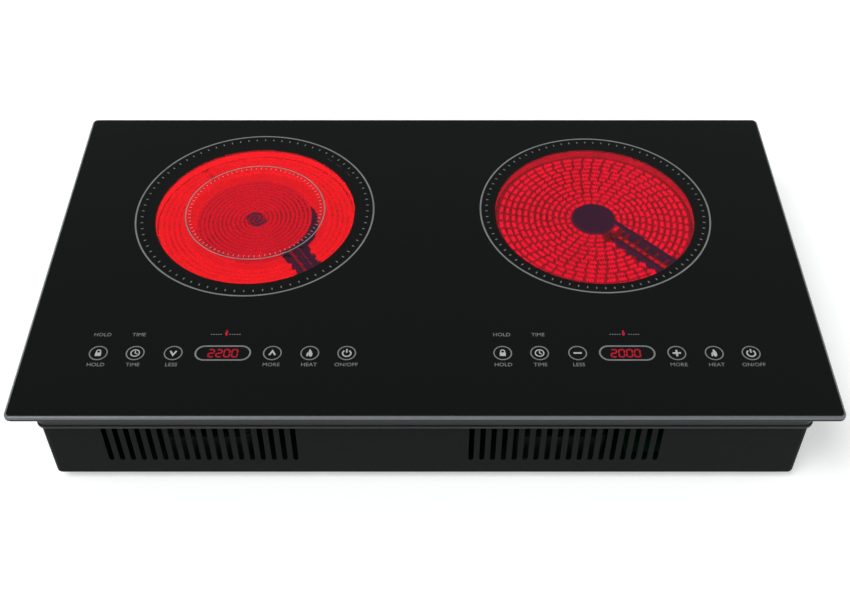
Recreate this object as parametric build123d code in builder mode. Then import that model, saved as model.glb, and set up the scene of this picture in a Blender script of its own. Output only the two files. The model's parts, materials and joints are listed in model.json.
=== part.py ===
from build123d import *
import os
from math import asin, atan, cos, degrees, dist, pi, radians, sin, tan

os.makedirs("parts", exist_ok=True)

# Glass panel and its seal
glass_w = 700.0
glass_d = 400.0
glass_t = 6.0
glass_corner_r = 6.0
glass_edge_r = 2.2
seal_t = 1.5
seal_w = 8.0
seal_inset = 2.0

# Sheet-steel case
case_h = 90.0
side_overhang = 22.0
front_overhang = 13.0
back_overhang = 20.0
case_corner_r = 6.0
case_edge_r = 2.5
sheet_t = 1.0
lip_w = 16.0

# Top frame
frame_t = 1.2
flange_w = 12.0
skirt_gap = 0.3
skirt_h = 22.0
hem_h = 3.2
hem_proud = 1.2

# Base plate and feet
base_t = 1.0
base_inset = 4.0
base_corner_r = 5.0
foot_h = 8.0
foot_r = 14.0
foot_taper = 2.0
foot_recess_r = 6.0
foot_recess_h = 4.0
foot_inset_x = 48.0
foot_inset_y = 42.0

# Vent slots: two groups in the front wall, one in the rear wall
vent_pitch = 9.5
vent_w = 4.6
vent_rise = 19.0
vent_under_skirt = 5.0
front_vent_count = 18
left_vent_inset = 134.0
right_vent_inset = 207.0
rear_vent_count = 14
rear_vent_x = -40.0

# Screws: large for the case and fans, small for the boards
screw_r = 1.7
screw_head_r = 3.4
screw_head_h = 2.0
screw_gap = 0.3
screw_past = 5.0
recess_w = 0.9
recess_span = 3.6
recess_depth = 1.0
small_screw_r = 1.2
small_head_r = 2.4
small_head_h = 1.6
small_screw_len = 5.0
frame_screw_drop = 14.0
frame_screw_inset_y = 73.5
frame_screw_inset_x = 88.0
base_screw_inset = 58.0
base_screw_count = 4

# Heaters
burner_from_side = 163.0
burner_from_back = 124.5
pan_r = 106.0
pan_t = 0.8
insulation_gap = 0.2
insulation_t = 18.0
rim_w = 8.5
rim_h = 9.0
pan_drop = 0.5
wire_d = 2.0
wire_seat = 0.2
wire_sample = 0.7
notch_w = 3.2
notch_h = 3.4
lead_past = 5.0
strip_gap = 0.3
strip_w = 50.0
strip_d = 9.0
strip_h = 7.3
strip_rise = 3.3
strip_hole_r = 1.3
rod_r = 2.0
rod_rise = 5.6
rod_fit = 0.3
switch_w = 18.0
switch_d = 22.0
switch_h = 13.0
switch_corner_r = 2.0
bracket_w = 24.0
bracket_t = 1.5
bracket_span = 160.0
bracket_foot = 20.0

# Left heater: inner double spiral and outer rings
left_gap_angle = -58.6
left_pitch = 4.3
left_half_turns = 14
lead_turn_r = 4.0
lead_spacing = 16.0
outer_pitch = 5.0
outer_first_r = 72.0
outer_rings = 5
left_gap_low = -1.0
left_gap_high = 25.0
far_gap = 3.0
end_turn_r = 3.0
left_rod_in = 64.0

# Right heater: rings round a hub
right_gap_angle = -47.0
right_pitch = 6.0
right_first_r = 24.5
right_rings = 12
right_half_gap = 13.0
right_lead_r = 8.0
right_rod_side = 8.0
right_rod_in = 6.0
hub_r = 21.0
hub_h = 3.3
hub_chamfer = 1.1

# Touch controls
control_from_side = 152.6
board_from_front = 58.5
keys_from_front = 58.5
key_offsets = (-108.0, -76.0, -43.0, 43.0, 75.5, 107.5)
board_t = 1.6
board_margin = 10.0
control_board_d = 52.0
pad_r = 6.0
pad_h = 8.0
display_w = 46.0
display_d = 14.0
display_gap = 0.3
indicator_r = 1.5
indicator_h = 6.0
indicator_from_keys = 24.0
boss_r = 4.0
boss_h = 4.4
boss_inset = 6.0
carrier_t = 2.0
carrier_rim = 2.0
leg_w = 12.0
leg_gap = 2.0

# Fans
fan_from_front = 61.0
fan_w = 80.0
fan_h = 25.0
fan_corner_r = 4.0
fan_bore_r = 38.5
fan_screw_spacing = 71.5
fan_hub_r = 17.0
fan_plate_t = 3.0
fan_strut_w = 5.0
fan_tube_r = 4.0
fan_shaft_r = 1.5
fan_shaft_fit = 0.05
fan_end_gap = 1.5
stator_r = 12.0
stator_h = 9.0
stator_gap = 0.3
cup_t = 1.5
blade_count = 7
blade_gap = 1.2
blade_t = 1.3
blade_lean = 40.0
inlet_count = 7
inlet_pitch = 10.0
inlet_w = 5.0
inlet_len = 56.0

# Power boards
power_from_front = 67.0
power_gap = 3.5
power_w = 105.0
power_d = 100.0
standoff_r = 3.5
standoff_h = 8.0
standoff_inset = 7.0
sink_w = 48.0
sink_d = 38.0
sink_base = 4.0
sink_h = 30.0
fin_count = 7
fin_t = 1.8
capacitor_r = 6.5
capacitor_h = 24.0
capacitor_pitch = 16.0
transformer_w = 34.0
transformer_d = 28.0
transformer_h = 26.0
core_w = 16.0
core_proud = 4.0

# Mains inlet at the rear and wires inside
gland_from_side = 43.0
gland_rise = 30.0
gland_thread_r = 10.0
gland_bore_r = 5.0
gland_flange_r = 14.0
gland_flange_t = 4.0
gland_dome_r = 11.0
gland_dome_h = 12.0
gland_dome_edge_r = 3.0
gland_thread_len = 12.0
gland_fit = 0.25
nut_r = 14.5
nut_t = 5.0
mains_w = 36.0
mains_d = 20.0
mains_h = 18.0
mains_corner_r = 1.6
mains_inset = 46.0
mains_hole_r = 1.8
mains_hole_pitch = 9.0
lead_d = 3.0
lead_bend_r = 8.0
lead_pair = 9.0
lead_level = 36.0
mains_level = 51.0
mains_tap_x = 36.0
mains_run = 44.0

# Levels and places that follow from the sizes above
base_z = foot_h
floor_z = base_z + base_t
glass_z = base_z + case_h
flange_z = glass_z - seal_t - frame_t
skirt_z = glass_z - skirt_h
case_w = glass_w - 2 * side_overhang
case_front = front_overhang - glass_d / 2
case_back = glass_d / 2 - back_overhang
case_d = case_back - case_front
case_y = (case_front + case_back) / 2
skirt_out = skirt_gap + frame_t
insulation_z = glass_z - rim_h
pan_z = insulation_z - insulation_t - pan_t
insulation_r = pan_r - pan_t - insulation_gap
rim_r = insulation_r - rim_w
wire_z = insulation_z + wire_seat + wire_d / 2
rod_z = insulation_z + rod_rise
control_board_z = glass_z - pad_h - board_t
carrier_z = control_board_z - boss_h - carrier_t
left_vent_x = left_vent_inset - case_w / 2
right_vent_x = case_w / 2 - right_vent_inset
burner_x = case_w / 2 - burner_from_side
burner_y = case_back - burner_from_back
control_x = case_w / 2 - control_from_side
control_y = case_front + board_from_front
control_board_w = key_offsets[-1] - key_offsets[0] + 2 * board_margin
key_row_y = case_front + keys_from_front
indicator_y = key_row_y + indicator_from_keys
fan_x = {"left": left_vent_x, "right": right_vent_x}
fan_y = case_front + fan_from_front
leg_offset = fan_w / 2 + leg_gap + leg_w / 2
power_left_x = (left_vent_x + right_vent_x) / 2
power_right_x = right_vent_x + leg_offset + leg_w / 2 + power_gap + power_w / 2
power_x = {"left": power_left_x, "right": power_right_x}
power_y = case_front + power_from_front
gland_x = case_w / 2 - gland_from_side
power_z = floor_z + standoff_h
power_top = power_z + board_t
gland_z = floor_z + gland_rise


def finish(piece, name):
    piece.part.label = name
    export_step(piece.part, f"parts/{name}.step")


def case_loop(grow, mode=Mode.ADD):
    """The case's rounded rectangle, grown by this much on every side, added or cut away."""
    corner = max(case_corner_r + grow, sheet_t)
    with Locations((0, case_y)):
        RectangleRounded(case_w + 2 * grow, case_d + 2 * grow, corner, mode=mode)


# Screw places: each plane looks out of the screw's head
frame_screw_z = glass_z - frame_screw_drop
frame_screw_x = case_w / 2 - frame_screw_inset_x
frame_screw_y = case_d / 2 - frame_screw_inset_y
base_screw_x = case_w / 2 - base_screw_inset
base_screw_step = 2 * base_screw_x / (base_screw_count - 1)
base_screw_xs = [i * base_screw_step - base_screw_x for i in range(base_screw_count)]
frame_screw_planes = [
    Plane((side * (case_w / 2 + skirt_out), y, frame_screw_z), x_dir=(0, 1, 0), z_dir=(side, 0, 0))
    for side in (-1, 1)
    for y in (-frame_screw_y, frame_screw_y)
]
frame_screw_planes += [
    Plane((x, case_back + skirt_out, frame_screw_z), x_dir=(1, 0, 0), z_dir=(0, 1, 0))
    for x in (-frame_screw_x, 0, frame_screw_x)
]
lip_middle = (lip_w + base_inset) / 2
lip_ys = (case_front + lip_middle, case_back - lip_middle)
bracket_foot_x = bracket_span / 2 + bracket_foot / 2
base_screw_places = [(x, y) for x in base_screw_xs for y in lip_ys]
base_screw_places += [
    (side * burner_x + end * bracket_foot_x, burner_y) for side in (-1, 1) for end in (-1, 1)
]
base_screw_planes = [Plane((x, y, base_z), x_dir=(1, 0, 0), z_dir=(0, 0, -1)) for x, y in base_screw_places]
foot_places = [
    (side * (case_w / 2 - foot_inset_x), y)
    for side in (-1, 1)
    for y in (case_front + foot_inset_y, case_back - foot_inset_y)
]
foot_screw_planes = [
    Plane((x, y, foot_recess_h), x_dir=(1, 0, 0), z_dir=(0, 0, -1)) for x, y in foot_places
]
fan_screw_places = [
    (x + i * fan_screw_spacing / 2, fan_y + j * fan_screw_spacing / 2)
    for x in fan_x.values()
    for i in (-1, 1)
    for j in (-1, 1)
]
fan_screw_planes = [Plane((x, y, floor_z + fan_h)) for x, y in fan_screw_places]
standoff_places = [
    (x + i * (power_w / 2 - standoff_inset), power_y + j * (power_d / 2 - standoff_inset))
    for x in power_x.values()
    for i in (-1, 1)
    for j in (-1, 1)
]
boss_x = control_board_w / 2 - boss_inset
boss_y = control_board_d / 2 - boss_inset
boss_places = [
    (side * control_x + i * boss_x, control_y + j * boss_y)
    for side in (-1, 1)
    for i in (-1, 1)
    for j in (-1, 1)
]
board_screw_planes = [Plane((x, y, power_top)) for x, y in standoff_places]
board_screw_planes += [Plane((x, y, control_board_z + board_t)) for x, y in boss_places]


# Glass panel with a rounded, polished edge
with BuildPart() as glass_panel:
    with BuildSketch(Plane.XY.offset(glass_z)):
        RectangleRounded(glass_w, glass_d, glass_corner_r)
    extrude(amount=glass_t)
    fillet(glass_panel.faces().sort_by(Axis.Z)[-1].edges(), glass_edge_r)
    fillet(glass_panel.faces().sort_by(Axis.Z)[0].edges(), glass_edge_r)
finish(glass_panel, "glass_panel")

# Silicone seal between the glass and the frame's flange
with BuildPart() as glass_seal:
    with BuildSketch(Plane.XY.offset(glass_z - seal_t)):
        case_loop(skirt_out - seal_inset)
        case_loop(skirt_out - seal_inset - seal_w, mode=Mode.SUBTRACT)
    extrude(amount=seal_t)
finish(glass_seal, "glass_seal")

# Top frame: flange under the glass, skirt outside the walls, rounded hem at the skirt's lower edge
with BuildPart() as top_frame:
    with BuildSketch(Plane.XY.offset(flange_z)):
        case_loop(skirt_out)
        case_loop(skirt_out - flange_w, mode=Mode.SUBTRACT)
    extrude(amount=frame_t)
    with BuildSketch(Plane.XY.offset(skirt_z)):
        case_loop(skirt_out)
        case_loop(skirt_gap, mode=Mode.SUBTRACT)
    extrude(amount=flange_z - skirt_z)
    with BuildSketch(Plane.XY.offset(skirt_z)):
        case_loop(skirt_out + hem_proud)
        case_loop(skirt_gap, mode=Mode.SUBTRACT)
    extrude(amount=hem_h)
    hem_top = top_frame.faces().filter_by_position(Axis.Z, skirt_z + hem_h, skirt_z + hem_h)
    hem_edges = hem_top.sort_by(SortBy.AREA)[-1].outer_wire().edges()
    hem_edges += top_frame.faces().sort_by(Axis.Z)[0].outer_wire().edges()
    fillet(hem_edges, 0.8 * hem_proud)
    with BuildSketch(*frame_screw_planes):
        Circle(screw_r + screw_gap)
    extrude(amount=-2 * skirt_out, mode=Mode.SUBTRACT)
finish(top_frame, "top_frame")

# Housing shell: four walls with vent slots and a lip turned in at the bottom
vent_low = floor_z + vent_rise
vent_high = skirt_z + vent_under_skirt
vent_mid = (vent_low + vent_high) / 2
vent_len = vent_high - vent_low
front_wall = Plane((0, case_front, 0), x_dir=(1, 0, 0), z_dir=(0, -1, 0))
rear_wall = Plane((0, case_back, 0), x_dir=(-1, 0, 0), z_dir=(0, 1, 0))
with BuildPart() as housing_shell:
    with BuildSketch(Plane.XY.offset(floor_z)):
        case_loop(0)
    extrude(amount=flange_z - floor_z)
    fillet(housing_shell.faces().sort_by(Axis.Z)[0].edges(), case_edge_r)
    with BuildSketch(Plane.XY.offset(floor_z + sheet_t)):
        case_loop(-sheet_t)
    extrude(amount=flange_z - floor_z - sheet_t, mode=Mode.SUBTRACT)
    inner_floor = housing_shell.faces().filter_by_position(Axis.Z, floor_z + sheet_t, floor_z + sheet_t)
    fillet(inner_floor[0].edges(), case_edge_r - sheet_t)
    with BuildSketch(Plane.XY.offset(floor_z)):
        case_loop(-lip_w)
    extrude(amount=2 * sheet_t, mode=Mode.SUBTRACT)
    with BuildSketch(front_wall):
        for group_x in (left_vent_x, right_vent_x):
            with Locations((group_x, vent_mid)):
                with GridLocations(vent_pitch, 0, front_vent_count, 1):
                    SlotOverall(vent_len, vent_w, rotation=90)
    extrude(amount=-2 * sheet_t, mode=Mode.SUBTRACT)
    with BuildSketch(rear_wall):
        with Locations((-rear_vent_x, vent_mid)):
            with GridLocations(vent_pitch, 0, rear_vent_count, 1):
                SlotOverall(vent_len, vent_w, rotation=90)
        with Locations((-gland_x, gland_z)):
            Circle(gland_thread_r + gland_fit)
    extrude(amount=-2 * sheet_t, mode=Mode.SUBTRACT)
    with BuildSketch(*frame_screw_planes):
        Circle(screw_r + screw_gap)
    extrude(amount=-(skirt_out + 2 * sheet_t), mode=Mode.SUBTRACT)
    with BuildSketch(*base_screw_planes):
        Circle(screw_r + screw_gap)
    extrude(amount=-(base_t + 2 * sheet_t), mode=Mode.SUBTRACT)
finish(housing_shell, "housing_shell")

# Base plate with the fans' inlet slots
with BuildPart() as base_plate:
    with BuildSketch(Plane.XY.offset(base_z)):
        with Locations((0, case_y)):
            RectangleRounded(case_w - 2 * base_inset, case_d - 2 * base_inset, base_corner_r)
        with Locations(*base_screw_places, *foot_places, *fan_screw_places):
            Circle(screw_r + screw_gap, mode=Mode.SUBTRACT)
        for x in fan_x.values():
            with Locations((x, fan_y)):
                with GridLocations(0, inlet_pitch, 1, inlet_count):
                    SlotOverall(inlet_len, inlet_w, mode=Mode.SUBTRACT)
    extrude(amount=base_t)
finish(base_plate, "base_plate")

# Four rubber feet, recessed for their screws
with BuildPart() as rubber_feet:
    with BuildSketch(Plane.XY):
        with Locations(*foot_places):
            Circle(foot_r - foot_taper)
    extrude(amount=foot_h, taper=-degrees(atan(foot_taper / foot_h)))
    with BuildSketch(Plane.XY):
        with Locations(*foot_places):
            Circle(foot_recess_r)
    extrude(amount=foot_recess_h, mode=Mode.SUBTRACT)
    with BuildSketch(Plane.XY):
        with Locations(*foot_places):
            Circle(screw_r + screw_gap)
    extrude(amount=foot_h, mode=Mode.SUBTRACT)
finish(rubber_feet, "rubber_feet")

# Foot screws, heads in the recesses
with BuildPart() as foot_screws:
    with BuildSketch(*foot_screw_planes):
        Circle(screw_head_r)
    extrude(amount=screw_head_h)
    with BuildSketch(*foot_screw_planes):
        Circle(screw_r)
    extrude(amount=-(foot_h - foot_recess_h + base_t + screw_past))
    with BuildSketch(*[plane.offset(screw_head_h) for plane in foot_screw_planes]):
        Rectangle(recess_span, recess_w)
        Rectangle(recess_w, recess_span)
    extrude(amount=-recess_depth, mode=Mode.SUBTRACT)
finish(foot_screws, "foot_screws")

# Base screws: base plate to lip, and base plate to the heater brackets
with BuildPart() as base_screws:
    with BuildSketch(*base_screw_planes):
        Circle(screw_head_r)
    extrude(amount=screw_head_h)
    with BuildSketch(*base_screw_planes):
        Circle(screw_r)
    extrude(amount=-(base_t + bracket_t + screw_past))
    with BuildSketch(*[plane.offset(screw_head_h) for plane in base_screw_planes]):
        Rectangle(recess_span, recess_w)
        Rectangle(recess_w, recess_span)
    extrude(amount=-recess_depth, mode=Mode.SUBTRACT)
finish(base_screws, "base_screws")

# Frame screws: skirt to wall, at the sides and the rear
with BuildPart() as frame_screws:
    with BuildSketch(*frame_screw_planes):
        Circle(screw_head_r)
    extrude(amount=screw_head_h)
    with BuildSketch(*frame_screw_planes):
        Circle(screw_r)
    extrude(amount=-(skirt_out + sheet_t + screw_past))
    with BuildSketch(*[plane.offset(screw_head_h) for plane in frame_screw_planes]):
        Rectangle(recess_span, recess_w)
        Rectangle(recess_w, recess_span)
    extrude(amount=-recess_depth, mode=Mode.SUBTRACT)
finish(frame_screws, "frame_screws")


# Heater plans: u runs from the burner's centre out along the gap, v across it, angles count from u
def polar(radius, angle):
    return (radius * cos(radians(angle)), radius * sin(radians(angle)))


def heater_plane(side, z):
    """The heater's plan at height z, its u axis turned to the gap."""
    place = {"left": -burner_x, "right": burner_x}[side]
    turn = {"left": left_gap_angle, "right": right_gap_angle}[side]
    return Plane((place, burner_y, z), x_dir=(*polar(1, turn), 0))


def outward(side, z, u, v, angle=0.0):
    """A plane that faces out of the heater at (u, v), turned by angle from the gap, its y axis up."""
    plan = heater_plane(side, z)
    out = plan.from_local_coords(Vector(*polar(1, angle), 0)) - plan.origin
    across = plan.from_local_coords(Vector(*polar(1, angle + 90), 0)) - plan.origin
    return Plane(plan.from_local_coords(Vector(u, v, 0)), x_dir=across, z_dir=out)


def gap_angle(offset, radius, turn_r):
    """The angle at which a ring ends, so that its turn stops at this distance from the gap's axis."""
    clear = degrees(turn_r / radius)
    return degrees(asin(offset / radius)) + (clear if offset > 0 else -clear)


def ring_run(radius, start, end):
    """A ring's arc, drawn as two arcs of at most a half turn."""
    half = (end - start) / 2
    CenterArc((0, 0), radius, start, half)
    CenterArc((0, 0), radius, start + half, half)


def u_turn(first_r, next_r, angle, way):
    """The half circle that joins two rings, bulging anticlockwise (way 1) or clockwise (way -1)."""
    start = angle + 180 if first_r < next_r else angle
    bend = -way if first_r < next_r else way
    CenterArc(polar((first_r + next_r) / 2, angle), abs(next_r - first_r) / 2, start, 180 * bend)


def draw_track(track):
    """Rings run one after another; where the radius changes, a half circle joins them."""
    for index, (radius, start, end) in enumerate(track):
        ring_run(radius, start, end)
        if index + 1 < len(track):
            u_turn(radius, track[index + 1][0], end, 1 if end > start else -1)


def least_gap(wire, spacing):
    """The least clear distance between parts of a wound wire that aren't next to each other."""
    count = int(wire.length / spacing)
    points = wire.positions([i / count for i in range(count + 1)])
    cell = 2 * max(right_pitch, outer_pitch, left_pitch)
    grid = {}
    least = cell
    apart = 4 * wire_d / spacing
    for index, point in enumerate(points):
        column, row = int(point.X // cell), int(point.Y // cell)
        for i in (column - 1, column, column + 1):
            for j in (row - 1, row, row + 1):
                for other, x, y in grid.get((i, j), ()):
                    if index - other > apart:
                        least = min(least, dist((x, y), (point.X, point.Y)))
        grid.setdefault((column, row), []).append((index, point.X, point.Y))
    return least - wire_d


def report_coil(name, coil, wire):
    expected = pi * wire_d**2 / 4 * wire.length
    gap = least_gap(wire, wire_sample)
    print(f"{name}: length {wire.length:.0f}, volume ratio {coil.part.volume / expected:.4f}, gap {gap:.2f}")


strip_u = pan_r + strip_gap
lead_end = strip_u + lead_past
switch_u = strip_u + strip_d + strip_gap
strip_z = insulation_z + strip_rise - strip_h

# Left inner coil: two spiral arms of half circles that meet in an S at the centre
inner_a = left_pitch * left_half_turns
inner_b = left_pitch * (left_half_turns - 1)
with BuildPart() as left_inner_coil:
    with BuildLine(heater_plane("left", wire_z)) as left_inner_path:
        for i in range(left_half_turns):
            way = 1 if i % 2 else -1
            CenterArc((way * left_pitch / 2, 0), (i + 0.5) * left_pitch, 90 * (1 + way), 180)
        for i in range(left_half_turns - 1):
            way = -1 if i % 2 else 1
            CenterArc((way * left_pitch / 2, 0), (i + 0.5) * left_pitch, 90 * (1 + way), 180)
        CenterArc((inner_a + lead_turn_r, 0), lead_turn_r, 180, -90)
        Line((inner_a + lead_turn_r, lead_turn_r), (lead_end, lead_turn_r))
        Line((inner_b, 0), (inner_b, lead_spacing))
        CenterArc((inner_b + lead_turn_r, lead_spacing), lead_turn_r, 180, -90)
        Line((inner_b + lead_turn_r, lead_spacing + lead_turn_r), (lead_end, lead_spacing + lead_turn_r))
    left_inner_wire = left_inner_path.wire()
    with BuildSketch(Plane(left_inner_wire @ 0, z_dir=left_inner_wire % 0)):
        Circle(wire_d / 2)
    sweep(path=left_inner_wire)
finish(left_inner_coil, "heater_left_inner_coil")
report_coil("left inner coil", left_inner_coil, left_inner_wire)

# Left outer coil: rings in two halves that turn back at the gap and at the far side
outer_radii = [outer_first_r + i * outer_pitch for i in range(outer_rings)]
far_angle = 180 + degrees(asin((left_gap_low + left_gap_high) / 2 / outer_radii[-1]))
outer_turn_r = outer_pitch / 2
last_r = outer_radii[-1]
outer_ends = (gap_angle(left_gap_high, last_r, end_turn_r), gap_angle(left_gap_low, last_r, end_turn_r))


def outer_turn(index, side):
    """The angle of the turn between ring index and the next one out, at one side of one gap."""
    mid = outer_radii[index] + outer_turn_r
    if side == "high":
        return gap_angle(left_gap_high, mid, outer_turn_r)
    if side == "low":
        return 360 + gap_angle(left_gap_low, mid, outer_turn_r)
    return far_angle + (1 if side == "far_high" else -1) * degrees((far_gap + outer_turn_r) / mid)


first_half = []
second_half = []
for i in range(outer_rings - 1, 0, -1):
    near = outer_ends[0] if i == outer_rings - 1 else outer_turn(i, "high")
    if (outer_rings - 1 - i) % 2:
        first_half.append((outer_radii[i], outer_turn(i, "far_low"), outer_turn(i - 1, "high")))
    else:
        first_half.append((outer_radii[i], near, outer_turn(i - 1, "far_low")))
for i in range(1, outer_rings):
    near = 360 + outer_ends[1] if i == outer_rings - 1 else outer_turn(i, "low")
    if i % 2:
        second_half.append((outer_radii[i], outer_turn(i - 1, "low"), outer_turn(i, "far_high")))
    else:
        second_half.append((outer_radii[i], outer_turn(i - 1, "far_high"), near))
middle_run = [(outer_radii[0], outer_turn(0, "high"), outer_turn(0, "low"))]
with BuildPart() as left_outer_coil:
    with BuildLine(heater_plane("left", wire_z)) as left_outer_path:
        draw_track(first_half + middle_run + second_half)
        for angle, way in ((outer_ends[0], 1), (outer_ends[1], -1)):
            CenterArc(polar(last_r + end_turn_r, angle), end_turn_r, angle + 180, 90 * way)
            start_u, start_v = polar(last_r + end_turn_r, angle)
            side_u, side_v = polar(end_turn_r, angle - 90 * way)
            run_u, run_v = polar(lead_end - last_r - end_turn_r, angle)
            start_u, start_v = start_u + side_u, start_v + side_v
            Line((start_u, start_v), (start_u + run_u, start_v + run_v))
    left_outer_wire = left_outer_path.wire()
    with BuildSketch(Plane(left_outer_wire @ 0, z_dir=left_outer_wire % 0)):
        Circle(wire_d / 2)
    sweep(path=left_outer_wire)
finish(left_outer_coil, "heater_left_outer_coil")
report_coil("left outer coil", left_outer_coil, left_outer_wire)

# Right coil: rings that turn back at both sides of the gap, the inner end led out along it
right_radii = [right_first_r + i * right_pitch for i in range(right_rings)]
right_turn_r = right_pitch / 2
right_last_r = right_radii[-1]
right_end = gap_angle(right_half_gap, right_last_r, end_turn_r)
right_track = []
ring_start = 0.0
for i, radius in enumerate(right_radii):
    side = 1 if i % 2 else -1
    if i == right_rings - 1:
        ring_stop = right_end
    else:
        ring_stop = gap_angle(side * right_half_gap, radius + right_turn_r, right_turn_r)
        ring_stop += 0 if i % 2 else 360
    right_track.append((radius, ring_start, ring_stop))
    ring_start = ring_stop
with BuildPart() as right_coil:
    with BuildLine(heater_plane("right", wire_z)) as right_path:
        CenterArc((right_first_r + right_lead_r, 0), right_lead_r, 180, 90)
        Line((right_first_r + right_lead_r, -right_lead_r), (lead_end, -right_lead_r))
        draw_track(right_track)
        CenterArc(polar(right_last_r + end_turn_r, right_end), end_turn_r, right_end + 180, 90)
        start_u, start_v = polar(right_last_r + end_turn_r, right_end)
        side_u, side_v = polar(end_turn_r, right_end - 90)
        run_u, run_v = polar(lead_end - right_last_r - end_turn_r, right_end)
        start_u, start_v = start_u + side_u, start_v + side_v
        Line((start_u, start_v), (start_u + run_u, start_v + run_v))
    right_wire = right_path.wire()
    with BuildSketch(Plane(right_wire @ 0, z_dir=right_wire % 0)):
        Circle(wire_d / 2)
    sweep(path=right_wire)
finish(right_coil, "heater_right_coil")
report_coil("right coil", right_coil, right_wire)

# Where the leads and the rod of each heater go through its rim: u, v and angle of each line
left_rod_v = lead_turn_r + lead_spacing / 2
lead_lines = {
    "left": [(0.0, lead_turn_r, 0.0), (0.0, lead_turn_r + lead_spacing, 0.0)]
    + [(*polar(end_turn_r, a - 90 * way), a) for a, way in ((outer_ends[0], 1), (outer_ends[1], -1))],
    "right": [(0.0, -right_lead_r, 0.0), (*polar(end_turn_r, right_end - 90), right_end)],
}
rod_v = {"left": left_rod_v, "right": right_rod_side}
rod_in = {"left": left_rod_in, "right": right_rod_in}
strip_v = {"left": left_rod_v, "right": right_rod_side / 2}

# Heater bodies: pan, insulation base and rim, rod, switch, terminal strip and bracket
for side in ("left", "right"):
    plan_x = {"left": -burner_x, "right": burner_x}[side]
    with BuildPart() as pan:
        with BuildSketch(heater_plane(side, pan_z)):
            Circle(pan_r)
        extrude(amount=insulation_z - pan_drop - pan_z)
        with BuildSketch(heater_plane(side, pan_z + pan_t)):
            Circle(pan_r - pan_t)
        extrude(amount=insulation_t, mode=Mode.SUBTRACT)
    finish(pan, f"heater_{side}_pan")

    with BuildPart() as insulation:
        with BuildSketch(heater_plane(side, pan_z + pan_t)):
            Circle(insulation_r)
        extrude(amount=insulation_t)
    finish(insulation, f"heater_{side}_insulation")

    with BuildPart() as rim:
        with BuildSketch(heater_plane(side, insulation_z)):
            Circle(insulation_r)
            Circle(rim_r, mode=Mode.SUBTRACT)
        extrude(amount=rim_h)
        with BuildSketch(*[outward(side, insulation_z, u, v, angle) for u, v, angle in lead_lines[side]]):
            Rectangle(notch_w, notch_h, align=(Align.CENTER, Align.MIN))
        extrude(amount=pan_r, mode=Mode.SUBTRACT)
        with BuildSketch(outward(side, rod_z, 0, rod_v[side])):
            Circle(rod_r + rod_fit)
        extrude(amount=pan_r, mode=Mode.SUBTRACT)
    finish(rim, f"heater_{side}_rim")

    with BuildPart() as limiter_rod:
        with BuildSketch(outward(side, rod_z, rod_in[side], rod_v[side])):
            Circle(rod_r)
        extrude(amount=switch_u - rod_in[side])
    finish(limiter_rod, f"heater_{side}_limiter_rod")

    with BuildPart() as limiter_switch:
        with BuildSketch(outward(side, rod_z, switch_u, rod_v[side])):
            with Locations((0, (glass_z - rod_z) - switch_h / 2 - strip_gap)):
                RectangleRounded(switch_w, switch_h, switch_corner_r)
        extrude(amount=switch_d)
    finish(limiter_switch, f"heater_{side}_limiter_switch")

    with BuildPart() as terminal:
        with BuildSketch(outward(side, strip_z, strip_u, strip_v[side])):
            Rectangle(strip_w, strip_h, align=(Align.CENTER, Align.MIN))
        extrude(amount=strip_d)
        with BuildSketch(*[outward(side, wire_z, u, v, angle) for u, v, angle in lead_lines[side]]):
            Circle(strip_hole_r)
        extrude(amount=lead_end + strip_hole_r, mode=Mode.SUBTRACT)
    finish(terminal, f"heater_{side}_terminal")

    half_span = bracket_span / 2
    with BuildPart() as bracket:
        with BuildSketch(Plane((plan_x, burner_y, floor_z), x_dir=(1, 0, 0), z_dir=(0, -1, 0))):
            rise = pan_z - floor_z
            with BuildLine():
                foot_end = half_span + bracket_foot
                inner_half = half_span - bracket_t
                Polyline(
                    (-foot_end, 0),
                    (-inner_half, 0),
                    (-inner_half, rise - bracket_t),
                    (inner_half, rise - bracket_t),
                    (inner_half, 0),
                    (foot_end, 0),
                    (foot_end, bracket_t),
                    (half_span, bracket_t),
                    (half_span, rise),
                    (-half_span, rise),
                    (-half_span, bracket_t),
                    (-foot_end, bracket_t),
                    close=True,
                )
            make_face()
        extrude(amount=bracket_w / 2, both=True)
        with BuildSketch(Plane((plan_x, burner_y, floor_z))):
            with Locations((-bracket_foot_x, 0), (bracket_foot_x, 0)):
                Circle(screw_r + screw_gap)
        extrude(amount=bracket_t, mode=Mode.SUBTRACT)
    finish(bracket, f"heater_{side}_bracket")

# Ceramic hub at the right heater's centre
with BuildPart() as hub:
    with BuildSketch(heater_plane("right", insulation_z)):
        Circle(hub_r)
    extrude(amount=hub_h)
    chamfer(hub.faces().sort_by(Axis.Z)[-1].edges(), hub_chamfer)
finish(hub, "heater_right_hub")

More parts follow.
